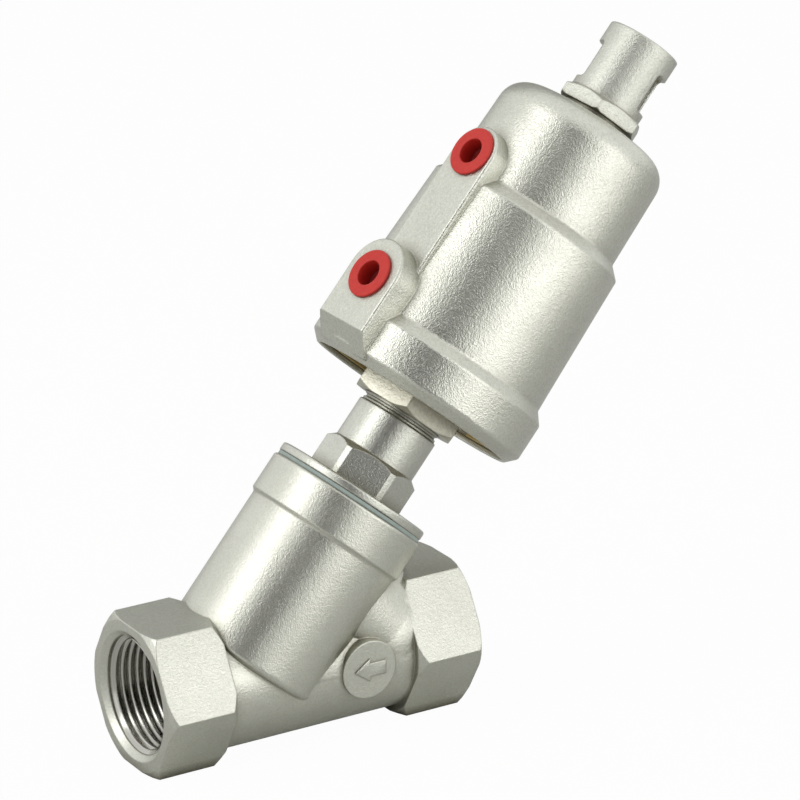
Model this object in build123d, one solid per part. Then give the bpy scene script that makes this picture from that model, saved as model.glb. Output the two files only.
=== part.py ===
from build123d import *
import os
from math import cos, sin, pi, radians, sqrt

os.makedirs("parts", exist_ok=True)

# ------------------------------------------------------------------ driving sizes (mm)
# Frame: origin on the pipe axis at the first full thread of the outlet port, +X along the pipe
# to the inlet port, +Z up, the stem axis leaning towards +X in the XZ plane.
# Parts are drawn from the outlet face and moved back by ORIGIN_INSET when saved.
STEM_LEAN = 50.0            # stem axis above the pipe axis, degrees
OUTLET_REACH = 32.0         # outlet face to the crossing of the two axes
INLET_REACH = 66.6          # crossing of the axes to the inlet face
PORT_AF = 41.0              # hexagon of both pipe ports
PORT_HEX_LENGTH = 20.8
PORT_THREAD_R = 16.62       # G1 major radius
PORT_THREAD_DEPTH = 17.0
PORT_RIM_R = 18.2           # entry chamfer at the port face
ORIGIN_INSET = 1.6          # the origin sits this far inside the outlet face, on the first full thread
RUN_R = 19.8                # cast pipe run
PASSAGE_R = 14.0
BARREL_R = 22.6             # cast barrel round the stem axis
BARREL_WALL = 3.6
BARREL_FOOT = 3.2           # along the stem axis from the crossing
COLLAR_START = 44.1
COLLAR_TOP = 56.3
COLLAR_R = 23.5
BONNET_THREAD_LOWER_R = 20.3  # thread that holds the bonnet in the collar
ARROW_DISC_R = 8.4
ARROW_DISC_RAISE = 0.8      # above the run
SEAT_R = 12.0
SEAT_TOP = 6.0

BONNET_FLANGE_R = 22.9
GASKET_THICKNESS = 1.1
BONNET_FLANGE_THICKNESS = 2.5
BONNET_AF = 25.6
BONNET_HEX_TOP = 69.8
BONNET_NECK_R = 12.2
BONNET_NECK_TOP = 81.7
BONNET_THREAD_R = 11.6      # upper thread, carries the lock nut and the actuator
STEM_R = 5.0
STROKE = 12.0

LOCK_NUT_AF = 30.0
LOCK_NUT_START = 84.0
LOCK_NUT_TOP = 92.2

CASING_RIM = 87.9           # lower face of the actuator casting
SKIRT_R = 33.4
SKIRT_TOP = 101.3
MIDDLE_R = 30.8
MIDDLE_START = 104.7
MIDDLE_TOP = 146.1
DRAFT_SLOPE = 0.034         # casting draft of the middle and upper drums
UPPER_START = 149.4
UPPER_R = 26.1
CASING_TOP = 179.5
CASING_TOP_ROUND = 7.5
PISTON_BORE_R = 26.3
SPRING_CHAMBER_R = 21.6
COVER_R = 29.4

PORT_TURN = 4.6             # air ports, degrees round the stem axis from the top towards the front
AIR_THREAD_R = 6.58         # G1/4 major radius
UPPER_PORT = 152.5
LOWER_PORT = 109.4
UPPER_PAD_HEIGHT = 30.5
UPPER_PAD_HALF = 8.1
LOWER_BOSS_HEIGHT = 37.1
LOWER_BOSS_HALF = 10.0

TOWER_R = 10.8
TOWER_HEX_AF = 23.0
TOWER_HEX_START = 181.6
TOWER_TOP = 206.2
TOWER_SLOT_START = 188.4
TOWER_SLOT_TOP = 200.0
TOWER_SLOT_WIDTH = 12.5
TOWER_TURN = 137.5          # slot direction, degrees round the stem axis

SLIDE_FIT = 0.04            # radial clearance of a shaft in its guide
ASSEMBLY_GAP = 0.3          # radial gap between parts that only pass each other
THREAD_GAP = 0.08           # gap left where a drawn-plain thread engages

# ------------------------------------------------------------------ frames
lean = radians(STEM_LEAN)
stem_direction = Vector(cos(lean), 0, sin(lean))
stem_upward = Vector(-sin(lean), 0, cos(lean))
# Local frame of the stem: X points up and back, Y to the front (-Y), Z along the stem.
STEM = Plane(origin=(OUTLET_REACH, 0, 0), x_dir=stem_upward, z_dir=stem_direction).location
INLET_FACE = OUTLET_REACH + INLET_REACH


def turned(*profile):
    """Solid of revolution round local Z from (radius, height) points."""
    outline = Polyline(*[(r, t) for r, t in profile], close=True)
    return revolve(Plane.XZ * make_face(outline), Axis.Z)


def rounded(*profile):
    """Like turned, with (radius, height, corner rounding) points."""
    face = make_face(Polyline(*[(r, t) for r, t, _ in profile], close=True))
    for r, t, rounding in profile:
        if rounding > 0:
            corner = face.vertices().sort_by_distance((r, t, 0))[0]
            face = fillet(corner, rounding)
    return revolve(Plane.XZ * face, Axis.Z)


def coil(mean_r, wire_r, start, end, turns):
    """Round-wire helical spring between two heights."""
    height = end - start - 2 * wire_r
    path = Helix(pitch=height / turns, height=height, radius=mean_r)
    section = Plane(origin=path @ 0, z_dir=path % 0) * Circle(wire_r)
    return Pos(0, 0, start + wire_r) * sweep(section, path=path)


def drum(radius, start, end):
    return Pos(0, 0, start) * extrude(Circle(radius), amount=end - start)


def ring(outer, inner, start, end):
    return Pos(0, 0, start) * extrude(Circle(outer) - Circle(inner), amount=end - start)


def hexagon(across_flats, start, end, turn=0.0):
    """Hexagonal bar; turn is the direction of one corner."""
    shape = RegularPolygon(across_flats / 2, 6, major_radius=False)
    return Pos(0, 0, start) * Rot(0, 0, turn) * extrude(shape, amount=end - start)


def port_along_x(radius, start, end):
    return Pos(start, 0, 0) * Rot(0, 90, 0) * extrude(Circle(radius), amount=end - start)


def save(solid, name, place=STEM):
    placed = Pos(-ORIGIN_INSET, 0, 0) * place * solid
    placed.label = name
    export_step(placed, "parts/" + name + ".step")


# ------------------------------------------------------------------ valve body casting
def port_hexagon(face, inward):
    """Hexagonal port end, both ends turned to a cone; face is its outer X."""
    corner_r = PORT_AF / sqrt(3)
    face_r = corner_r - 1.9
    back_r = corner_r - 2.2
    length = PORT_HEX_LENGTH
    bar = hexagon(PORT_AF, 0, length, 90)
    cone = turned((0, 0), (face_r, 0), (corner_r + 0.01, 1.9), (corner_r + 0.01, length - 2.2),
                  (back_r, length), (0, length))
    return Pos(face, 0, 0) * Rot(0, 90 * inward, 0) * (bar & cone)


run = port_along_x(RUN_R, PORT_HEX_LENGTH - 3, INLET_FACE - PORT_HEX_LENGTH + 3)
barrel = STEM * rounded((0, BARREL_FOOT, 0), (BARREL_R, BARREL_FOOT, 2.0), (BARREL_R, COLLAR_START, 1.2),
                        (COLLAR_R, COLLAR_START + 0.9, 0.5), (COLLAR_R, COLLAR_TOP, 0.9), (0, COLLAR_TOP, 0))
# Cast swelling over the passage that rises from the inlet port to the top of the seat.
swell_x = INLET_FACE - PORT_HEX_LENGTH - 4.0
swell = Pos(swell_x, 0, 3.0) * Sphere(RUN_R)
swell_neck = Pos(swell_x, 0, 3.0) * Rot(0, -40, 0) * Cone(RUN_R * 0.98, RUN_R * 0.9, 22,
                                                         align=(Align.CENTER, Align.CENTER, Align.MIN))
casting = run + swell + swell_neck
body = casting + barrel
arrow_disc_x = OUTLET_REACH + 30.7
arrow_disc = Pos(arrow_disc_x, -RUN_R - ARROW_DISC_RAISE, 0.9) * Rot(-90, 0, 0) * extrude(
    Circle(ARROW_DISC_R), amount=12)
body += arrow_disc
body += port_hexagon(0, 1)
body += port_hexagon(INLET_FACE, -1)

# Waterway: outlet passage below the seat, chamber above it, inlet passage into the chamber.
chamber_r = BARREL_R - BARREL_WALL
outlet_way = port_along_x(PASSAGE_R, 0, OUTLET_REACH + 2) + Pos(OUTLET_REACH + 2, 0, 0) * Sphere(PASSAGE_R)
seat_way = STEM * drum(SEAT_R, -6, SEAT_TOP + 1)
chamber = STEM * turned((0, SEAT_TOP), (SEAT_R + 2.5, SEAT_TOP), (SEAT_R + 2.5, SEAT_TOP - 1.5),
                        (SEAT_R + 4, SEAT_TOP - 1.5), (chamber_r, SEAT_TOP + 3), (chamber_r, 38), (BONNET_THREAD_LOWER_R, 40),
                        (BONNET_THREAD_LOWER_R, COLLAR_TOP + 1), (0, COLLAR_TOP + 1))
inlet_way = Pos(swell_x - 2, 0, 0) * Sphere(PASSAGE_R) + port_along_x(PASSAGE_R, swell_x - 2, INLET_FACE)
inlet_rise = Pos(swell_x - 2, 0, 0) * Rot(0, -52, 0) * Cylinder(
    PASSAGE_R - 1.5, 26, align=(Align.CENTER, Align.CENTER, Align.MIN))
ways = (outlet_way + seat_way) + ((inlet_way + inlet_rise) - STEM * drum(chamber_r + 2, -30, SEAT_TOP - 1.5))
ways += chamber


def port_thread_bore(face, inward):
    depth = PORT_THREAD_DEPTH
    entry = PORT_RIM_R - PORT_THREAD_R
    bore = turned((0, -1), (PORT_RIM_R + 1, -1), (PORT_THREAD_R, entry), (PORT_THREAD_R, depth),
                  (PASSAGE_R, depth + 1.5), (0, depth + 1.5))
    return Pos(face, 0, 0) * Rot(0, 90 * inward, 0) * bore


ways += port_thread_bore(0, 1)
ways += port_thread_bore(INLET_FACE, -1)
body -= ways
save(body, "valve_body", Location())


# ------------------------------------------------------------------ bonnet and stem packing
gasket_top = COLLAR_TOP + GASKET_THICKNESS
flange_top = gasket_top + BONNET_FLANGE_THICKNESS
bonnet_thread_r = BONNET_THREAD_LOWER_R - THREAD_GAP
save(ring(BONNET_FLANGE_R - 0.2, bonnet_thread_r + 0.3, COLLAR_TOP, gasket_top), "bonnet_gasket")

BONNET_FOOT = 38.0
PACKING_START = 50.0
PACKING_R = 8.0
BONNET_END = 101.0
GLAND_START = 89.0
hex_corner_r = BONNET_AF / 2 / cos(pi / 6)
bonnet_hex = hexagon(BONNET_AF, flange_top - 0.5, BONNET_HEX_TOP, 53.0 + 30) & turned(
    (0, flange_top - 0.5), (hex_corner_r - 0.5, flange_top - 0.5), (hex_corner_r - 0.5, BONNET_HEX_TOP - 1.7),
    (BONNET_NECK_R, BONNET_HEX_TOP), (0, BONNET_HEX_TOP))
bonnet = rounded((0, BONNET_FOOT, 0), (17.4, BONNET_FOOT, 0), (18.4, BONNET_FOOT + 1, 0), (18.4, 42, 0),
                 (bonnet_thread_r, 43.5, 0), (bonnet_thread_r, gasket_top, 0),
                 (BONNET_FLANGE_R, gasket_top, 0.4), (BONNET_FLANGE_R, flange_top, 0.7),
                 (BONNET_NECK_R, flange_top, 0), (BONNET_NECK_R, BONNET_NECK_TOP, 0.5),
                 (BONNET_THREAD_R, BONNET_NECK_TOP, 0), (BONNET_THREAD_R, BONNET_NECK_TOP + 0.7, 0),
                 (BONNET_THREAD_R - 0.5, BONNET_NECK_TOP + 0.9, 0), (BONNET_THREAD_R - 0.5, BONNET_NECK_TOP + 1.5, 0),
                 (BONNET_THREAD_R, BONNET_NECK_TOP + 1.7, 0), (BONNET_THREAD_R, BONNET_END - 1, 0),
                 (BONNET_THREAD_R - 1, BONNET_END, 0), (0, BONNET_END, 0))
bonnet += bonnet_hex
bonnet -= turned((0, BONNET_FOOT - 1), (PACKING_R, BONNET_FOOT - 1), (PACKING_R, 46), (STEM_R + ASSEMBLY_GAP, 46),
                 (STEM_R + ASSEMBLY_GAP, PACKING_START), (PACKING_R, PACKING_START),
                 (PACKING_R, BONNET_END + 1), (0, BONNET_END + 1))
save(bonnet, "bonnet")

guide_r = STEM_R + SLIDE_FIT
save(ring(PACKING_R, guide_r, BONNET_FOOT, 46), "lower_guide_bush")
save(ring(PACKING_R - 0.1, guide_r, PACKING_START, PACKING_START + 1.5), "packing_washer")
# Five chevron rings nest into one another, so the stack is one grooved sleeve.
rings_start, ring_pitch, ring_count = PACKING_START + 1.5, 2.8, 5
rings_end = rings_start + ring_pitch * ring_count
chevrons = [(guide_r, rings_start), (PACKING_R - 0.1, rings_start)]
for k in range(ring_count):
    top = rings_start + ring_pitch * (k + 1)
    chevrons += [(PACKING_R - 0.1, top - 0.7), (PACKING_R - 0.8, top - 0.35), (PACKING_R - 0.1, top)]
chevrons.append((guide_r, rings_end))
save(turned(*chevrons), "packing_rings")
save(ring(PACKING_R - 0.1, guide_r, rings_end, rings_end + 2.5), "packing_follower")
save(coil(6.7, 0.8, rings_end + 2.6, GLAND_START - 0.1, 6), "packing_spring")

gland = turned((guide_r, GLAND_START), (PACKING_R - THREAD_GAP, GLAND_START), (PACKING_R - THREAD_GAP, BONNET_END - 1),
               (guide_r, BONNET_END - 1))
gland -= turned((0, 94), (STEM_R + 1.5, 94), (STEM_R + 1.5, 96.2), (0, 96.2))
gland -= Pos(0, 0, BONNET_END - 2) * Box(20, 2.4, 4)
save(gland, "gland_nut")
save(ring(STEM_R + 1.45, guide_r, 94.1, 96.1), "stem_o_ring")

nut_corner_r = LOCK_NUT_AF / sqrt(3)
lock_nut = hexagon(LOCK_NUT_AF, LOCK_NUT_START, LOCK_NUT_TOP, 52.8) & turned(
    (0, LOCK_NUT_START), (nut_corner_r - 2.0, LOCK_NUT_START), (nut_corner_r, LOCK_NUT_START + 1.4),
    (nut_corner_r, LOCK_NUT_TOP - 1.4), (nut_corner_r - 2.0, LOCK_NUT_TOP), (0, LOCK_NUT_TOP))
lock_nut -= turned((0, LOCK_NUT_START - 1), (BONNET_THREAD_R + 1.6, LOCK_NUT_START - 1),
                   (BONNET_THREAD_R + THREAD_GAP, LOCK_NUT_START + 0.6),
                   (BONNET_THREAD_R + THREAD_GAP, LOCK_NUT_TOP + 1), (0, LOCK_NUT_TOP + 1))
save(lock_nut, "lock_nut")

# ------------------------------------------------------------------ actuator casting
port_turn = Rot(0, 0, PORT_TURN)          # turns local X onto the direction of both air ports
SHOULDER = SKIRT_TOP                      # the cover seats here
GROOVE_START = CASING_RIM + 1.5
COVER_START = GROOVE_START + 1.6
BORE_END = 143.0
ROOF_INNER = CASING_TOP - 6.0
TOWER_THREAD_R = 8.0
middle_top_r = MIDDLE_R - DRAFT_SLOPE * (MIDDLE_TOP - MIDDLE_START)
upper_top_r = UPPER_R - 0.025 * (CASING_TOP - UPPER_START)
outside = rounded((0, CASING_RIM, 0), (SKIRT_R - 2.8, CASING_RIM, 0.4), (SKIRT_R, CASING_RIM + 2.8, 1.5),
                  (SKIRT_R, SKIRT_TOP, 1.0), (MIDDLE_R, MIDDLE_START, 1.2), (middle_top_r, MIDDLE_TOP, 1.0),
                  (UPPER_R, UPPER_START, 1.2), (upper_top_r, CASING_TOP, CASING_TOP_ROUND), (0, CASING_TOP, 0))


def raised_pad(half_width, foot, centre, height):
    """Flat-topped cast pad along the stem axis, round at its upper end."""
    outline = Pos(0, (foot + centre) / 2) * Rectangle(2 * half_width, centre - foot)
    outline += Pos(0, centre) * Circle(half_width)
    # The pad is drawn in a plane square to the port axis and pulled out along it.
    pad_plane = Plane(origin=(10, 0, 0), x_dir=(0, 1, 0), z_dir=(1, 0, 0))
    pad = extrude(pad_plane * outline, amount=height - 10)
    top = pad.faces().sort_by(Axis.X)[-1]
    return port_turn * fillet(top.edges(), 0.7)


upper_pad = raised_pad(UPPER_PAD_HALF, 99, UPPER_PORT, UPPER_PAD_HEIGHT)
lower_boss = raised_pad(LOWER_BOSS_HALF, 89, LOWER_PORT + 1.1, LOWER_BOSS_HEIGHT)
facet = make_face(Polyline((LOWER_BOSS_HEIGHT + 3, 97.9), (LOWER_BOSS_HEIGHT + 3, 85), (20, 85),
                           (SKIRT_R - 4, 87.0), close=True))
lower_boss -= port_turn * Pos(0, 20, 0) * extrude(Plane.XZ * facet, amount=40)
cylinder = outside + upper_pad + lower_boss
cylinder -= turned((0, CASING_RIM - 1), (29.8 + 1.0, CASING_RIM - 1), (29.8, CASING_RIM + 0.3), (29.8, GROOVE_START),
                   (31.0, GROOVE_START), (31.0, COVER_START), (COVER_R + 0.1, COVER_START),
                   (COVER_R + 0.1, SHOULDER), (PISTON_BORE_R, SHOULDER), (PISTON_BORE_R, BORE_END),
                   (SPRING_CHAMBER_R, BORE_END + 4.7), (SPRING_CHAMBER_R, ROOF_INNER - 4),
                   (SPRING_CHAMBER_R - 4, ROOF_INNER), (TOWER_THREAD_R, ROOF_INNER),
                   (TOWER_THREAD_R, CASING_TOP + 1), (0, CASING_TOP + 1))


def air_port(at, pad_height, inner_r):
    """Threaded air port with its drilling into the bore."""
    thread_end = inner_r + 2.3
    hole = turned((0, inner_r - 2), (2.5, inner_r - 2), (2.5, thread_end), (AIR_THREAD_R - 1, thread_end),
                  (AIR_THREAD_R, thread_end + 0.6), (AIR_THREAD_R, pad_height + 2), (0, pad_height + 2))
    return port_turn * Pos(0, 0, at) * Rot(0, 90, 0) * hole


cylinder -= air_port(LOWER_PORT, LOWER_BOSS_HEIGHT, PISTON_BORE_R)
cylinder -= air_port(UPPER_PORT, UPPER_PAD_HEIGHT, SPRING_CHAMBER_R)
save(cylinder, "cylinder")

# Lower cover, screwed onto the bonnet thread and held by a ring in the casting.
hub_r = BONNET_THREAD_R + THREAD_GAP
COVER_TOP = SHOULDER - 0.1
cover = turned((hub_r, LOCK_NUT_TOP + 0.1), (20, LOCK_NUT_TOP + 0.1), (21.3, COVER_START), (COVER_R, COVER_START),
               (COVER_R, 94.6), (COVER_R - 2.4, 94.6), (COVER_R - 2.4, 97.8), (COVER_R, 97.8), (COVER_R, COVER_TOP),
               (hub_r, COVER_TOP))
cover -= turned((0, 97), (hub_r + 1.8, 97), (hub_r + 1.8, 99.4), (0, 99.4))
save(cover, "lower_cover")
save(ring(COVER_R + 0.05, COVER_R - 2.35, 94.7, 97.7), "cover_o_ring")
save(ring(hub_r + 1.75, BONNET_THREAD_R + 0.05, 97.1, 99.3), "hub_o_ring")
retaining = ring(30.9, 26.8, GROOVE_START + 0.1, COVER_START - 0.1)
retaining -= Rot(0, 0, 200) * Pos(29, 0, GROOVE_START + 0.8) * Box(8, 9, 4)
save(retaining, "cover_retaining_ring")

# ------------------------------------------------------------------ indicator tower
TOWER_BORE_R = 8.2
tower = rounded((0, ROOF_INNER + 0.5, 0), (TOWER_THREAD_R - THREAD_GAP, ROOF_INNER + 0.5, 0.6),
                (TOWER_THREAD_R - THREAD_GAP, CASING_TOP + 0.1, 0), (9.6, CASING_TOP + 0.1, 0),
                (9.6, TOWER_HEX_START, 0), (TOWER_R, TOWER_HEX_START, 0), (TOWER_R, TOWER_TOP, 0.5), (0, TOWER_TOP, 0))
tower_corner_r = TOWER_HEX_AF / sqrt(3)
tower += hexagon(TOWER_HEX_AF, TOWER_HEX_START, TOWER_HEX_START + 4.4, TOWER_TURN - 90) & turned(
    (0, TOWER_HEX_START), (tower_corner_r - 0.8, TOWER_HEX_START), (tower_corner_r, TOWER_HEX_START + 0.6),
    (tower_corner_r, TOWER_HEX_START + 3.0), (TOWER_R, TOWER_HEX_START + 4.4), (0, TOWER_HEX_START + 4.4))
ROD_R = 4.0
tower -= turned((0, ROOF_INNER), (ROD_R + SLIDE_FIT, ROOF_INNER), (ROD_R + SLIDE_FIT, CASING_TOP - 0.5),
                (TOWER_BORE_R - 1.2, CASING_TOP - 0.5), (TOWER_BORE_R - 1.2, TOWER_HEX_START),
                (TOWER_BORE_R, TOWER_HEX_START + 1), (TOWER_BORE_R, TOWER_TOP - 3), (0, TOWER_TOP - 3))
slot_height = TOWER_SLOT_TOP - TOWER_SLOT_START
slot = Pos(0, 0, TOWER_SLOT_START + slot_height / 2) * Box(2 * TOWER_R + 4, TOWER_SLOT_WIDTH, slot_height)
slot = fillet(slot.edges().filter_by(Axis.X), 1.2)
tower -= Rot(0, 0, TOWER_TURN) * slot
save(tower, "indicator_tower")

# ------------------------------------------------------------------ stem, seat disc and piston
PISTON_FOOT = 113.0
PISTON_TOP = 124.0
SPIGOT_R = 4.0
stem = turned((0, -3.2), (SPIGOT_R - 0.6, -3.2), (SPIGOT_R, -2.6), (SPIGOT_R, 22), (STEM_R, 22),
              (STEM_R, PISTON_FOOT + 2), (SPIGOT_R + 0.5, PISTON_FOOT + 2), (SPIGOT_R + 0.5, 134), (0, 134))
save(stem, "stem")
SEAL_TOP = SEAT_TOP + 3.5
save(ring(SEAT_R + 3.4, SPIGOT_R, SEAT_TOP, SEAL_TOP), "disc_seal")
save(turned((SPIGOT_R, SEAL_TOP), (SEAT_R + 3.5, SEAL_TOP), (SEAT_R + 3.5, SEAT_TOP + 1.6),
            (SEAT_R + 5, SEAT_TOP + 1.6), (SEAT_R + 5, 14), (SEAT_R, 17.5), (9, 18), (9, 22), (SPIGOT_R, 22)),
     "disc_holder")
save(turned((SPIGOT_R, SEAT_TOP - 2), (SEAT_R - 1.6, SEAT_TOP - 2), (SEAT_R - 1, SEAT_TOP - 1.4),
            (SEAT_R - 1, SEAT_TOP), (SPIGOT_R, SEAT_TOP)), "disc_washer")
save(hexagon(13, -1.5, SEAT_TOP - 2, 20) - drum(SPIGOT_R, -2, SEAT_TOP), "disc_nut")

bore_hole = SPIGOT_R + 0.5
piston_r = PISTON_BORE_R - ASSEMBLY_GAP
save(turned((bore_hole, PISTON_FOOT + 2), (12, PISTON_FOOT + 2), (12, PISTON_FOOT), (14, PISTON_FOOT),
            (14, PISTON_FOOT + 2), (piston_r, PISTON_FOOT + 2), (piston_r, PISTON_FOOT + 3),
            (piston_r - 2, PISTON_FOOT + 3), (piston_r - 2, PISTON_FOOT + 5.4), (piston_r, PISTON_FOOT + 5.4),
            (piston_r, PISTON_FOOT + 6.4), (piston_r - 1.6, PISTON_FOOT + 6.4), (piston_r - 1.6, PISTON_TOP - 1.4),
            (piston_r, PISTON_TOP - 1.4), (piston_r, PISTON_TOP), (bore_hole, PISTON_TOP)), "piston")
save(ring(PISTON_BORE_R - SLIDE_FIT, piston_r - 1.95, PISTON_FOOT + 3.05, PISTON_FOOT + 5.35), "piston_seal")
save(ring(PISTON_BORE_R - SLIDE_FIT, piston_r - 1.55, PISTON_FOOT + 6.45, PISTON_TOP - 1.45), "piston_guide_ring")
save(ring(10, bore_hole, PISTON_TOP, PISTON_TOP + 1.6), "piston_washer")
save(hexagon(17, PISTON_TOP + 1.6, PISTON_TOP + 8.6, 10) - drum(bore_hole, PISTON_TOP, PISTON_TOP + 10), "piston_nut")
save(turned((0, 134), (ROD_R, 134), (ROD_R, 181), (0, 181)), "indicator_rod")
save(rounded((0, 181, 0), (6.6, 181, 0.5), (6.6, TOWER_SLOT_START - 0.6, 1.2), (0, TOWER_SLOT_START - 0.6, 0)),
     "indicator_cap")
save(coil(17.4, 2.1, PISTON_TOP, ROOF_INNER - 4.2, 5.5), "closing_spring")

# ------------------------------------------------------------------ port plugs
for plug_name, at, pad_height in (("upper_port_plug", UPPER_PORT, UPPER_PAD_HEIGHT),
                                  ("lower_port_plug", LOWER_PORT, LOWER_BOSS_HEIGHT)):
    plug = rounded((0, pad_height - 5.6, 0), (AIR_THREAD_R - ASSEMBLY_GAP, pad_height - 5.6, 0.6),
                   (AIR_THREAD_R - ASSEMBLY_GAP, pad_height, 0), (7.05, pad_height, 0),
                   (7.05, pad_height + 0.9, 0.4), (0, pad_height + 0.9, 0))
    plug -= drum(3.7, pad_height - 4.2, pad_height + 2)
    save(port_turn * Pos(0, 0, at) * Rot(0, 90, 0) * plug, plug_name)
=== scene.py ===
import math
import bpy
from mathutils import Matrix, Vector


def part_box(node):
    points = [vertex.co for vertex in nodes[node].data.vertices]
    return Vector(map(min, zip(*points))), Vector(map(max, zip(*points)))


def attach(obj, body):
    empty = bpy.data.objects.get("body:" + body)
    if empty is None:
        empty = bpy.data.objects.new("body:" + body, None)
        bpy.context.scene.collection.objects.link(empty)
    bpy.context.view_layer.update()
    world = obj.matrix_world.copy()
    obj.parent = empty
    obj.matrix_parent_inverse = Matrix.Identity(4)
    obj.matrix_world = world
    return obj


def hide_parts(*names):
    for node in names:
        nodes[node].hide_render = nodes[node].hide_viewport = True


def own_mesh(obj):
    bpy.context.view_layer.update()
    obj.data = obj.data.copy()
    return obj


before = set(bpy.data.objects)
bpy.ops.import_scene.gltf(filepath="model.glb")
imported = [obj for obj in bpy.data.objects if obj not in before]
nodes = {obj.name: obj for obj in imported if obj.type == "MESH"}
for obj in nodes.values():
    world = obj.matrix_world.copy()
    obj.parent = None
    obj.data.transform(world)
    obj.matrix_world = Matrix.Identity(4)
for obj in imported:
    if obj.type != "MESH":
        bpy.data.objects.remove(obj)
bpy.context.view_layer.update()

# ------------------------------------------------------------------ valve body
# Y-pattern pipe body, an investment casting in stainless steel. It is shot-blasted after casting,
# so every face has a fine even grain, and the edges have rubbed a little brighter.
stem_lean = math.radians(50)
stem_axis = Vector((math.cos(stem_lean), 0, math.sin(stem_lean)))


def new_group(name, inputs, outputs):
    """Empty shader node group with named sockets; returns it with its input and output nodes."""
    group = bpy.data.node_groups.new(name, "ShaderNodeTree")
    for socket, kind in inputs:
        group.interface.new_socket(socket, in_out="INPUT", socket_type=kind)
    for socket in outputs:
        kind = "NodeSocketVector" if socket == "Normal" else "NodeSocketFloat"
        group.interface.new_socket(socket, in_out="OUTPUT", socket_type=kind)
    return group, group.nodes.new("NodeGroupInput"), group.nodes.new("NodeGroupOutput")


def calc(tree, operation, a, b=None, c=None):
    """Math node; each operand is a number or a socket."""
    node = tree.nodes.new("ShaderNodeMath")
    node.operation = operation
    for slot, operand in zip(node.inputs, (a, b, c)):
        if isinstance(operand, (int, float)):
            slot.default_value = operand
        elif operand is not None:
            tree.links.new(operand, slot)
    return node.outputs[0]


def noise(tree, vector, scale, detail):
    """Noise texture; the scale is a number or a socket."""
    node = tree.nodes.new("ShaderNodeTexNoise")
    node.inputs["Detail"].default_value = detail
    tree.links.new(vector, node.inputs["Vector"])
    if isinstance(scale, (int, float)):
        node.inputs["Scale"].default_value = scale
    else:
        tree.links.new(scale, node.inputs["Scale"])
    return node.outputs["Fac"]


# Blasted grain: fine dimples, a speckle that goes with them, and soft clouds over the whole face.
# Each scale is a share of the dimples' scale, and each weight a share of their height.
coarse_scale, coarse_weight = 0.42, 0.9
pit_scale, pit_weight = 0.8, 0.45
speckle_gain, speckle_shift = 0.9, -0.62
clouds_per_metre = 60.0
blasted, g_in, g_out = new_group("blasted_grain", [("Grains per metre", "NodeSocketFloat")],
                                 ["Height", "Speckle", "Clouds"])
place = blasted.nodes.new("ShaderNodeTexCoord").outputs["Object"]
grains_wanted = g_in.outputs["Grains per metre"]
dimples = noise(blasted, place, grains_wanted, 2.0)
coarse = noise(blasted, place, calc(blasted, "MULTIPLY", grains_wanted, coarse_scale), 1.0)
pits = blasted.nodes.new("ShaderNodeTexVoronoi")
blasted.links.new(place, pits.inputs["Vector"])
blasted.links.new(calc(blasted, "MULTIPLY", grains_wanted, pit_scale), pits.inputs["Scale"])
surface = calc(blasted, "ADD", dimples, calc(blasted, "MULTIPLY", coarse, coarse_weight))
surface = calc(blasted, "ADD", surface, calc(blasted, "MULTIPLY", pits.outputs["Distance"], pit_weight))
blasted.links.new(surface, g_out.inputs["Height"])
blasted.links.new(calc(blasted, "MULTIPLY_ADD", surface, speckle_gain, speckle_shift),
                  g_out.inputs["Speckle"])
blasted.links.new(noise(blasted, place, clouds_per_metre, 3.0), g_out.inputs["Clouds"])

# Rounded and rubbed edges: a softened normal, and a mask that is 1 where two faces meet.
edge_radius, edge_sharpening = 0.0006, 5.0
rubbed, g_in, g_out = new_group("rubbed_edges", [], ["Normal", "Mask"])
edge_round = rubbed.nodes.new("ShaderNodeBevel")
edge_round.samples = 6
edge_round.inputs["Radius"].default_value = edge_radius
facing = rubbed.nodes.new("ShaderNodeVectorMath")
facing.operation = "DOT_PRODUCT"
rubbed.links.new(edge_round.outputs["Normal"], facing.inputs[0])
rubbed.links.new(rubbed.nodes.new("ShaderNodeNewGeometry").outputs["Normal"], facing.inputs[1])
turn_away = calc(rubbed, "SUBTRACT", 1.0, facing.outputs["Value"])
rubbed.links.new(calc(rubbed, "MINIMUM", calc(rubbed, "MULTIPLY", turn_away, edge_sharpening), 1.0),
                 g_out.inputs["Mask"])
rubbed.links.new(edge_round.outputs["Normal"], g_out.inputs["Normal"])

# Crevices: 1 deep in corners and holes. Painted shade goes there, dark and a little brown, and it also
# stands for the brownish stain that blasting leaves in creases.
crevice_shade_and_stain, g_in, g_out = new_group("crevice_shade_and_stain", [("Reach", "NodeSocketFloat")], ["Mask"])
shut_in = crevice_shade_and_stain.nodes.new("ShaderNodeAmbientOcclusion")
shut_in.samples = 6
crevice_shade_and_stain.links.new(g_in.outputs["Reach"], shut_in.inputs["Distance"])
crevice_shade_and_stain.links.new(calc(crevice_shade_and_stain, "SUBTRACT", 1.0, shut_in.outputs["AO"]), g_out.inputs["Mask"])


def new_material(name, metallic):
    """Material with its node tree and its Principled BSDF."""
    mat = bpy.data.materials.new(name)
    mat.use_nodes = True
    bsdf = mat.node_tree.nodes["Principled BSDF"]
    bsdf.inputs["Metallic"].default_value = metallic
    return mat, mat.node_tree, bsdf


def use_group(tree, group):
    """Group node that shows one of the groups above."""
    node = tree.nodes.new("ShaderNodeGroup")
    node.node_tree = group
    return node


def two_tone(tree, tone, dull, bright):
    """Colour between dull, where tone is 0, and bright, where it is 1."""
    ramp = tree.nodes.new("ShaderNodeValToRGB")
    ramp.color_ramp.elements[0].color = (*dull, 1)
    ramp.color_ramp.elements[1].color = (*bright, 1)
    tree.links.new(tone, ramp.inputs["Fac"])
    return ramp.outputs["Color"]


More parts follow.
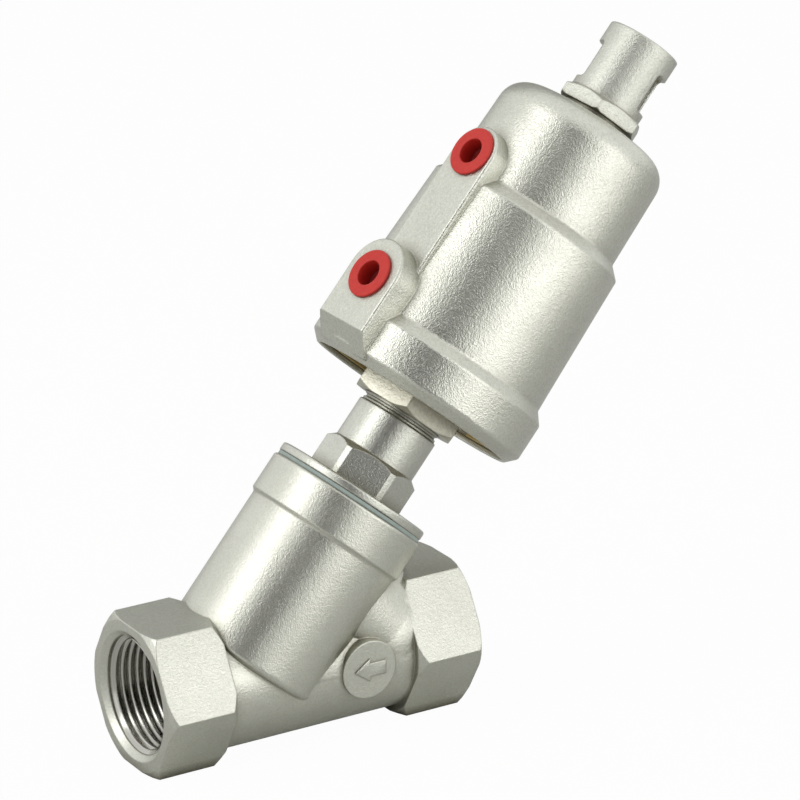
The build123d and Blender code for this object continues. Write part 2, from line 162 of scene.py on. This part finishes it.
def roughen(tree, bsdf, height, edges, depth):
    """Bump of the given depth in metres, on top of the rounded edges."""
    bump = tree.nodes.new("ShaderNodeBump")
    bump.inputs["Distance"].default_value = depth
    tree.links.new(height, bump.inputs["Height"])
    tree.links.new(edges.outputs["Normal"], bump.inputs["Normal"])
    tree.links.new(bump.outputs["Normal"], bsdf.inputs["Normal"])


# How much the clouds, the rubbed edges and the painted shade of the crevices change a blasted finish.
cloud_tone, tone_shift = 0.6, -0.05
cloud_polish, edge_polish = 0.12, 0.06
shade_and_stain_strength = 1.1


def blasted_finish(name, dull, bright, roughness, grains, depth, metallic=1.0, edge_gain=0.25,
                   shade_and_stain=(0.17, 0.155, 0.105), reach=0.004):
    """Blasted or moulded surface: colours in and on the grain, and painted shade with a brownish stain in
    its crevices.
    """
    mat, tree, bsdf = new_material(name, metallic)
    grain = use_group(tree, blasted)
    grain.inputs["Grains per metre"].default_value = grains
    edges = use_group(tree, rubbed)
    corner_shade = use_group(tree, crevice_shade_and_stain)
    corner_shade.inputs["Reach"].default_value = reach
    tone = calc(tree, "MULTIPLY_ADD", grain.outputs["Clouds"], cloud_tone, tone_shift)
    tone = calc(tree, "MULTIPLY_ADD", grain.outputs["Speckle"], 1.0, tone)
    tone = calc(tree, "MULTIPLY_ADD", edges.outputs["Mask"], edge_gain, tone)
    # Painted shade: the colour goes dark and a little brown in corners and holes, as shade falls there.
    shaded_and_stained = tree.nodes.new("ShaderNodeMix")
    shaded_and_stained.data_type = "RGBA"
    clean_colour, shade_and_stain_colour = [socket for socket in shaded_and_stained.inputs if socket.type == "RGBA"]
    mixed_colour = [socket for socket in shaded_and_stained.outputs if socket.type == "RGBA"][0]
    shade_and_stain_colour.default_value = (*shade_and_stain, 1)
    tree.links.new(calc(tree, "MULTIPLY", corner_shade.outputs["Mask"], shade_and_stain_strength), shaded_and_stained.inputs["Factor"])
    tree.links.new(two_tone(tree, tone, dull, bright), clean_colour)
    tree.links.new(mixed_colour, bsdf.inputs["Base Color"])
    shine = calc(tree, "MULTIPLY_ADD", grain.outputs["Clouds"], -cloud_polish, roughness + cloud_polish / 2)
    tree.links.new(calc(tree, "MULTIPLY_ADD", edges.outputs["Mask"], -edge_polish, shine),
                   bsdf.inputs["Roughness"])
    roughen(tree, bsdf, grain.outputs["Height"], edges, depth)
    return mat


def cover_nodes(mat, *names):
    """Gives CAD nodes their material."""
    for name in names:
        slots = nodes[name].data.materials
        if not slots:
            slots.append(mat)
        for i in range(len(slots)):
            slots[i] = mat


cast_body = blasted_finish("cast_body", (0.50, 0.505, 0.44), (0.68, 0.685, 0.61),
                           roughness=0.36, grains=3300, depth=0.00006)
cover_nodes(cast_body, "valve_body")


def start_shape():
    """Nothing selected, ready for the next primitive."""
    if bpy.context.object and bpy.context.object.mode != "OBJECT":
        bpy.ops.object.mode_set(mode="OBJECT")
    bpy.ops.object.select_all(action="DESELECT")


def pick_piece(piece):
    """Only this piece selected and active."""
    start_shape()
    bpy.context.view_layer.objects.active = piece
    piece.select_set(True)


def place_in_mesh():
    """Puts the place, turn and scale of the selected piece into its mesh."""
    bpy.ops.object.transform_apply(location=True, rotation=True, scale=True)


def copy_node(name, copy_name):
    """Free copy of a CAD node, with its own mesh."""
    copied = nodes[name].copy()
    copied.data = copied.data.copy()
    copied.name = copy_name
    copied.parent = None
    bpy.context.scene.collection.objects.link(copied)
    return copied


def cut(piece, tool):
    """Cuts tool out of piece and removes the tool."""
    pick_piece(piece)
    step = piece.modifiers.new("cut", "BOOLEAN")
    step.operation = "DIFFERENCE"
    step.solver = "EXACT"
    step.object = tool
    bpy.ops.object.modifier_apply(modifier="cut")
    bpy.data.objects.remove(tool)


# The hexagon ends are turned like a nut, 30 degrees from the face, so each port face is a round
# ring. The body is a copy of the casting with its corners cut by two coned rings.
outlet_face, inlet_face = -0.0016, 0.0970
chamfer_r, chamfer_slope = 0.0211, math.tan(math.radians(30))
block_r, block_length, cone_length = 0.032, 0.006, 0.010
cone_sides = 180
casting = copy_node("valve_body", "chamfered_body")
pick_piece(casting)
bpy.ops.object.mode_set(mode="EDIT")
bpy.ops.mesh.select_all(action="SELECT")
bpy.ops.mesh.remove_doubles(threshold=0.000002)
bpy.ops.object.mode_set(mode="OBJECT")
bpy.ops.mesh.customdata_custom_splitnormals_clear()
for edge_x, inward in ((outlet_face, 1), (inlet_face, -1)):
    # A solid block round the port end, with a cone taken out of it.
    start_shape()
    bpy.ops.mesh.primitive_cylinder_add(vertices=cone_sides, radius=block_r, depth=block_length,
                                        location=(edge_x, 0, 0), rotation=(0, math.pi / 2, 0))
    block = bpy.context.object
    place_in_mesh()
    start_shape()
    widening = cone_length / 2 / chamfer_slope
    bpy.ops.mesh.primitive_cone_add(vertices=cone_sides, radius1=chamfer_r - widening,
                                    radius2=chamfer_r + widening, depth=cone_length,
                                    location=(edge_x, 0, 0), rotation=(0, inward * math.pi / 2, 0))
    cone = bpy.context.object
    place_in_mesh()
    cut(block, cone)
    cut(casting, block)
pick_piece(casting)
bpy.ops.mesh.customdata_custom_splitnormals_clear()
bpy.ops.object.shade_smooth_by_angle(angle=math.radians(28))
even = casting.modifiers.new("even_shading", "WEIGHTED_NORMAL")
even.keep_sharp = True
bpy.ops.object.modifier_apply(modifier="even_shading")
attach(casting, "valve")
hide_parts("valve_body")

# ------------------------------------------------------------------ pipe threads
# Each port is tapped with a G1 parallel pipe thread, six full turns. The tap leaves bright smooth
# flanks, and the ridge sinks slightly into the wall of the tapped bore.
thread_root, thread_crest, thread_pitch, thread_turns = 0.01664, 0.01520, 0.002309, 6
thread_start, thread_bite = 0.0006, 0.00006

# Tool lines: noise read along one axis only, so it repeats all round the turned face.
turned, g_in, g_out = new_group("turned_lines", [("Axis", "NodeSocketVector"),
                                                 ("Lines per metre", "NodeSocketFloat")], ["Height"])
along = turned.nodes.new("ShaderNodeVectorMath")
along.operation = "DOT_PRODUCT"
turned.links.new(turned.nodes.new("ShaderNodeTexCoord").outputs["Object"], along.inputs[0])
turned.links.new(g_in.outputs["Axis"], along.inputs[1])
tool_marks = turned.nodes.new("ShaderNodeTexNoise")
tool_marks.noise_dimensions = "1D"
tool_marks.inputs["Detail"].default_value = 3.0
tool_marks.inputs["Scale"].default_value = 1.0
turned.links.new(calc(turned, "MULTIPLY", along.outputs["Value"], g_in.outputs["Lines per metre"]),
                 tool_marks.inputs["W"])
turned.links.new(tool_marks.outputs["Fac"], g_out.inputs["Height"])

# How much the tool lines and the rubbed edges change a turned finish.
line_tone, line_shift, edge_tone = 1.6, -0.3, 0.3
line_polish = 0.1


def cut_finish(name, dull, bright, roughness, axis, lines, depth):
    """Turned metal surface: fine tool lines at right angles to axis."""
    mat, tree, bsdf = new_material(name, 1.0)
    tool = use_group(tree, turned)
    tool.inputs["Axis"].default_value = axis
    tool.inputs["Lines per metre"].default_value = lines
    edges = use_group(tree, rubbed)
    tone = calc(tree, "MULTIPLY_ADD", tool.outputs["Height"], line_tone, line_shift)
    tone = calc(tree, "MULTIPLY_ADD", edges.outputs["Mask"], edge_tone, tone)
    tree.links.new(two_tone(tree, tone, dull, bright), bsdf.inputs["Base Color"])
    shine = calc(tree, "MULTIPLY_ADD", tool.outputs["Height"], -line_polish, roughness + line_polish / 2)
    tree.links.new(shine, bsdf.inputs["Roughness"])
    roughen(tree, bsdf, tool.outputs["Height"], edges, depth)
    return mat


tapped_thread = cut_finish("tapped_thread", (0.40, 0.395, 0.36), (0.62, 0.61, 0.56),
                           roughness=0.17, axis=(1, 0, 0), lines=4000, depth=0.00001)


def pick_points(piece, wanted):
    """Enters edit mode with only the points selected for which wanted(position) is true."""
    bpy.ops.object.mode_set(mode="EDIT")
    bpy.ops.mesh.select_mode(type="VERT")
    bpy.ops.mesh.select_all(action="DESELECT")
    bpy.ops.object.mode_set(mode="OBJECT")
    for point in piece.data.vertices:
        point.select = wanted(point.co)
    bpy.ops.object.mode_set(mode="EDIT")


# The ridge's outline is a square on its corner, whose inner corner is pulled to the crest and
# whose outer corner is pushed to just inside the wall; the screw then winds it along the pipe.
outline_r = thread_pitch / 2
corner_margin = 0.0005
steps_a_turn = 96
start_shape()
bpy.ops.mesh.primitive_circle_add(vertices=4, radius=outline_r, fill_type="NOTHING",
                                  location=(outlet_face + thread_start + outline_r, 0, thread_root),
                                  rotation=(math.pi / 2, 0, 0))
outlet_thread = bpy.context.object
outlet_thread.name = "outlet_thread"
place_in_mesh()
pick_points(outlet_thread, lambda co: co.z < thread_root - corner_margin)
bpy.ops.transform.translate(value=(0, 0, thread_crest - (thread_root - outline_r)))
pick_points(outlet_thread, lambda co: co.z > thread_root + corner_margin)
bpy.ops.transform.translate(value=(0, 0, thread_bite - outline_r))
bpy.ops.object.mode_set(mode="OBJECT")
winding = outlet_thread.modifiers.new("winding", "SCREW")
winding.axis = "X"
winding.screw_offset = thread_pitch
winding.iterations = thread_turns
winding.steps = winding.render_steps = steps_a_turn
bpy.ops.object.modifier_apply(modifier="winding")
bpy.ops.object.mode_set(mode="EDIT")
bpy.ops.mesh.select_all(action="SELECT")
bpy.ops.mesh.fill_holes(sides=0)
bpy.ops.mesh.select_all(action="SELECT")
bpy.ops.mesh.normals_make_consistent(inside=False)
bpy.ops.object.mode_set(mode="OBJECT")
bpy.ops.object.shade_smooth_by_angle(angle=math.radians(35))

# The inlet thread is the same ridge turned half round the vertical, so it keeps its hand.
bpy.ops.object.duplicate()
inlet_thread = bpy.context.object
inlet_thread.name = "inlet_thread"
inlet_thread.rotation_euler = (0, 0, math.pi)
inlet_thread.location = (outlet_face + inlet_face, 0, 0)
place_in_mesh()
for ridge in (outlet_thread, inlet_thread):
    ridge.data.materials.append(tapped_thread)
    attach(ridge, "valve")

# ------------------------------------------------------------------ flow arrow
# A plain raised arrow, cast on the round pad on the front of the pipe run. It points to the outlet.
arrow_x, arrow_z = 0.0611, 0.0009
pad_face, arrow_root, arrow_height = -0.0206, 0.0002, 0.0006
arrow_head, arrow_half_head, arrow_half_shaft, arrow_tail = 0.0048, 0.0034, 0.0020, 0.0050
arrow_point = 0.02          # width of the tip, as a share of the head
end_margin = 0.0001
start_shape()
bpy.ops.mesh.primitive_plane_add(size=1, location=(arrow_x + arrow_tail / 2, pad_face + arrow_root, arrow_z),
                                 rotation=(math.pi / 2, 0, 0))
arrow = bpy.context.object
arrow.name = "flow_arrow"
arrow.scale = (arrow_tail, arrow_half_shaft * 2, 1)
place_in_mesh()
pick_points(arrow, lambda co: co.x < arrow_x + end_margin)
bpy.ops.mesh.extrude_region_move(TRANSFORM_OT_translate={"value": (0, 0, 0)})
bpy.ops.transform.resize(value=(1, 1, arrow_half_head / arrow_half_shaft),
                         center_override=(arrow_x, pad_face, arrow_z))
bpy.ops.mesh.extrude_region_move(TRANSFORM_OT_translate={"value": (-arrow_head, 0, 0)})
bpy.ops.transform.resize(value=(1, 1, arrow_point),
                         center_override=(arrow_x - arrow_head, pad_face, arrow_z))
bpy.ops.mesh.select_all(action="SELECT")
bpy.ops.mesh.dissolve_degenerate(threshold=0.00001)
bpy.ops.mesh.select_all(action="SELECT")
bpy.ops.mesh.extrude_region_move(TRANSFORM_OT_translate={"value": (0, -arrow_height, 0)})
bpy.ops.mesh.select_all(action="SELECT")
bpy.ops.mesh.normals_make_consistent(inside=False)
bpy.ops.object.mode_set(mode="OBJECT")
soft = arrow.modifiers.new("soft_edges", "BEVEL")
soft.width = 0.00018
soft.segments = 2
bpy.ops.object.modifier_apply(modifier="soft_edges")
bpy.ops.object.shade_smooth_by_angle(angle=math.radians(35))
arrow.data.materials.append(cast_body)
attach(arrow, "valve")

# ------------------------------------------------------------------ bonnet and its gasket
# The bonnet screws into the collar of the body and squeezes a thin pale green sealing ring. Its
# hexagon and neck keep the blasted skin; the packing parts inside it are turned steel and white plastic.
gasket_green = blasted_finish("gasket_green", (0.36, 0.45, 0.42), (0.48, 0.57, 0.54),
                              roughness=0.45, grains=1200, depth=0.00003, metallic=0.0)
cover_nodes(gasket_green, "bonnet_gasket")
bonnet_skin = blasted_finish("bonnet_skin", (0.46, 0.465, 0.41), (0.66, 0.665, 0.60),
                             roughness=0.36, grains=3200, depth=0.00006, edge_gain=0.5)
cover_nodes(bonnet_skin, "bonnet")
turned_steel = cut_finish("turned_steel", (0.52, 0.515, 0.48), (0.68, 0.675, 0.63),
                          roughness=0.26, axis=stem_axis, lines=6000, depth=0.00002)
cover_nodes(turned_steel, "packing_washer", "packing_follower", "gland_nut")
packing_white = blasted_finish("packing_white", (0.72, 0.71, 0.66), (0.84, 0.83, 0.79),
                               roughness=0.45, grains=1500, depth=0.00002, metallic=0.0)
cover_nodes(packing_white, "packing_rings", "lower_guide_bush")
spring_wire = cut_finish("spring_wire", (0.28, 0.28, 0.28), (0.42, 0.42, 0.41),
                         roughness=0.30, axis=stem_axis, lines=3000, depth=0.00002)
cover_nodes(spring_wire, "packing_spring")
seal_rubber = blasted_finish("seal_rubber", (0.015, 0.015, 0.015), (0.04, 0.04, 0.04),
                             roughness=0.5, grains=1500, depth=0.00002, metallic=0.0)
cover_nodes(seal_rubber, "stem_o_ring")

# ------------------------------------------------------------------ lock nut
# Steel hexagon nut that locks the actuator on the bonnet thread. Its plating is slightly yellow.
nut_plating = blasted_finish("nut_plating", (0.44, 0.43, 0.34), (0.64, 0.63, 0.53),
                             roughness=0.38, grains=2000, depth=0.00004, edge_gain=0.5)
cover_nodes(nut_plating, "lock_nut")

# ------------------------------------------------------------------ stem, disc and piston
# The moving train: a turned stem with the sealing disc at its foot and the aluminium piston near
# its top, all held by washers and nuts.
cover_nodes(turned_steel, "stem", "disc_holder", "disc_washer", "disc_nut", "piston_washer", "piston_nut",
            "indicator_rod")
cover_nodes(packing_white, "disc_seal", "piston_guide_ring")
cover_nodes(seal_rubber, "piston_seal")
piston_alloy = cut_finish("piston_alloy", (0.62, 0.62, 0.62), (0.76, 0.76, 0.76),
                          roughness=0.30, axis=stem_axis, lines=4000, depth=0.00003)
cover_nodes(piston_alloy, "piston")

# ------------------------------------------------------------------ actuator casing
# Cast cylinder of the piston drive. Its blasting is coarser than the body's. The closing spring
# sits inside it, and a yellow-passivated steel cover with its retaining ring closes the mouth.
cast_casing = blasted_finish("cast_casing", (0.47, 0.475, 0.415), (0.69, 0.695, 0.62),
                             roughness=0.35, grains=2900, depth=0.00008)
cover_nodes(cast_casing, "cylinder")
yellow_zinc = cut_finish("yellow_zinc", (0.30, 0.22, 0.07), (0.56, 0.44, 0.19),
                         roughness=0.32, axis=stem_axis, lines=2500, depth=0.00003)
cover_nodes(yellow_zinc, "lower_cover", "cover_retaining_ring")
cover_nodes(seal_rubber, "cover_o_ring", "hub_o_ring")
cover_nodes(spring_wire, "closing_spring")

# The piston squeezes the closing spring against the roof of the casing as it rises. Here the spring is a
# copy with its own mesh, carried with the actuator.
start_shape()
coils = copy_node("closing_spring", "closing_coils")
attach(coils, "actuator")
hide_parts("closing_spring")
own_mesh(coils)

# ------------------------------------------------------------------ air port plugs
# Push-in transport plugs of soft red plastic, one in each air port. Painted shade turns their holes dark
# red.
plug_red = blasted_finish("plug_red", (0.66, 0.022, 0.016), (0.78, 0.040, 0.028),
                          roughness=0.48, grains=1400, depth=0.00002, metallic=0.0, edge_gain=0.2,
                          shade_and_stain=(0.10, 0.002, 0.001), reach=0.005)
cover_nodes(plug_red, "upper_port_plug", "lower_port_plug")

# ------------------------------------------------------------------ indicator tower
# Cast slotted tube screwed into the casing. A yellow cap on the rod shows the valve's position.
cast_tower = blasted_finish("cast_tower", (0.45, 0.455, 0.40), (0.64, 0.645, 0.58),
                            roughness=0.44, grains=3200, depth=0.00009)
cover_nodes(cast_tower, "indicator_tower")
cap_yellow = blasted_finish("cap_yellow", (0.60, 0.40, 0.02), (0.76, 0.53, 0.05),
                            roughness=0.4, grains=1400, depth=0.00002, metallic=0.0)
cover_nodes(cap_yellow, "indicator_cap")

# ------------------------------------------------------------------ studio
# A white room: pale floor under the two hexagons, two soft lamps, and three cards for the steel
# to mirror: a dark one that gives it its dark band, a low bright one, and a grey one behind.
body_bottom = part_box("valve_body")[0].z
floor_gap, floor_glow, fill_strength = 0.0002, 0.97, 0.5
start_shape()
bpy.ops.mesh.primitive_plane_add(size=6, location=(0.09, 0, body_bottom - floor_gap))
floor = bpy.context.object
floor.name = "floor"
floor_paint = bpy.data.materials.new("floor_paint")
floor_paint.use_nodes = True
ft = floor_paint.node_tree
ft.nodes.clear()
matt = ft.nodes.new("ShaderNodeBsdfDiffuse")
matt.inputs["Color"].default_value = (0.82, 0.82, 0.81, 1)
glow = ft.nodes.new("ShaderNodeEmission")
seen = ft.nodes.new("ShaderNodeLightPath")
blend = ft.nodes.new("ShaderNodeMixShader")
ft.links.new(calc(ft, "MULTIPLY", seen.outputs["Is Camera Ray"], floor_glow), blend.inputs["Fac"])
ft.links.new(matt.outputs[0], blend.inputs[1])
ft.links.new(glow.outputs[0], blend.inputs[2])
ft.links.new(blend.outputs[0], ft.nodes.new("ShaderNodeOutputMaterial").inputs["Surface"])
floor.data.materials.append(floor_paint)

# The room is white to the eye and in reflections, and dimmer as a light on matt faces.
world = bpy.data.worlds.new("white_room")
bpy.context.scene.world = world
world.use_nodes = True
wt = world.node_tree
wt.nodes.clear()
white = wt.nodes.new("ShaderNodeBackground")
white.inputs["Color"].default_value = (1, 1, 1, 1)
fill = wt.nodes.new("ShaderNodeBackground")
fill.inputs["Color"].default_value = (1.0, 1.0, 0.99, 1)
fill.inputs["Strength"].default_value = fill_strength
path = wt.nodes.new("ShaderNodeLightPath")
direct = calc(wt, "MAXIMUM", path.outputs["Is Camera Ray"], path.outputs["Is Glossy Ray"])
direct = calc(wt, "MAXIMUM", direct, path.outputs["Is Transmission Ray"])
choose = wt.nodes.new("ShaderNodeMixShader")
wt.links.new(direct, choose.inputs["Fac"])
wt.links.new(fill.outputs[0], choose.inputs[1])
wt.links.new(white.outputs[0], choose.inputs[2])
wt.links.new(choose.outputs[0], wt.nodes.new("ShaderNodeOutputWorld").inputs["Surface"])

studio_centre = Vector((0.09, 0, 0.075))


def softbox(name, direction, distance, width, height, power):
    """Rectangular lamp that faces the valve from the given direction."""
    data = bpy.data.lights.new(name, "AREA")
    data.shape = "RECTANGLE"
    data.size = width
    data.size_y = height
    data.energy = power
    lamp = bpy.data.objects.new(name, data)
    away = Vector(direction).normalized()
    lamp.location = studio_centre + away * distance
    lamp.rotation_euler = (-away).to_track_quat("-Z", "Y").to_euler()
    bpy.context.scene.collection.objects.link(lamp)


softbox("left_lamp", (-0.79, 0.06, 0.61), distance=1.2, width=0.45, height=0.9, power=3.1)
softbox("right_lamp", (0.30, -0.95, 0.06), distance=1.2, width=0.8, height=1.0, power=3.4)


def mirrored_card(name, direction, distance, width, height, shade):
    """Card that only reflections see: grey, or brighter than the room where shade is over 1."""
    start_shape()
    away = Vector(direction).normalized()
    bpy.ops.mesh.primitive_plane_add(size=1, location=studio_centre + away * distance,
                                     rotation=away.to_track_quat("Z", "Y").to_euler())
    card = bpy.context.object
    card.name = name
    card.scale = (width, height, 1)
    card.visible_camera = card.visible_diffuse = card.visible_shadow = card.visible_transmission = False
    mat = bpy.data.materials.new(name)
    mat.use_nodes = True
    tree = mat.node_tree
    tree.nodes.clear()
    tone = tree.nodes.new("ShaderNodeEmission")
    tone.inputs["Color"].default_value = (shade, shade, shade * 0.97, 1)
    tree.links.new(tone.outputs[0], tree.nodes.new("ShaderNodeOutputMaterial").inputs["Surface"])
    card.data.materials.append(mat)


mirrored_card("dark_card", (-0.54, -0.71, 0.45), distance=0.8, width=0.55, height=0.9, shade=0.02)
mirrored_card("low_card", (0.42, -0.82, -0.20), distance=0.42, width=0.42, height=0.16, shade=1.8)
mirrored_card("back_card", (0.50, 0.80, 0.36), distance=0.9, width=0.8, height=0.7, shade=0.35)

eye = Vector((-0.47029, -0.89221, 0.4567))
target = Vector((0.08357, 0.0, 0.06844))
lens = bpy.data.cameras.new("camera")
lens.lens = 184.15
lens.sensor_width = 36
camera = bpy.data.objects.new("camera", lens)
bpy.context.scene.collection.objects.link(camera)
ahead = (target - eye).normalized()
across = ahead.cross(Vector((0, 0, 1))).normalized()
upward = across.cross(ahead)
camera.matrix_world = Matrix.Translation(eye) @ Matrix((across, upward, -ahead)).transposed().to_4x4()
bpy.context.scene.camera = camera
bpy.context.scene.view_settings.view_transform = "Standard"
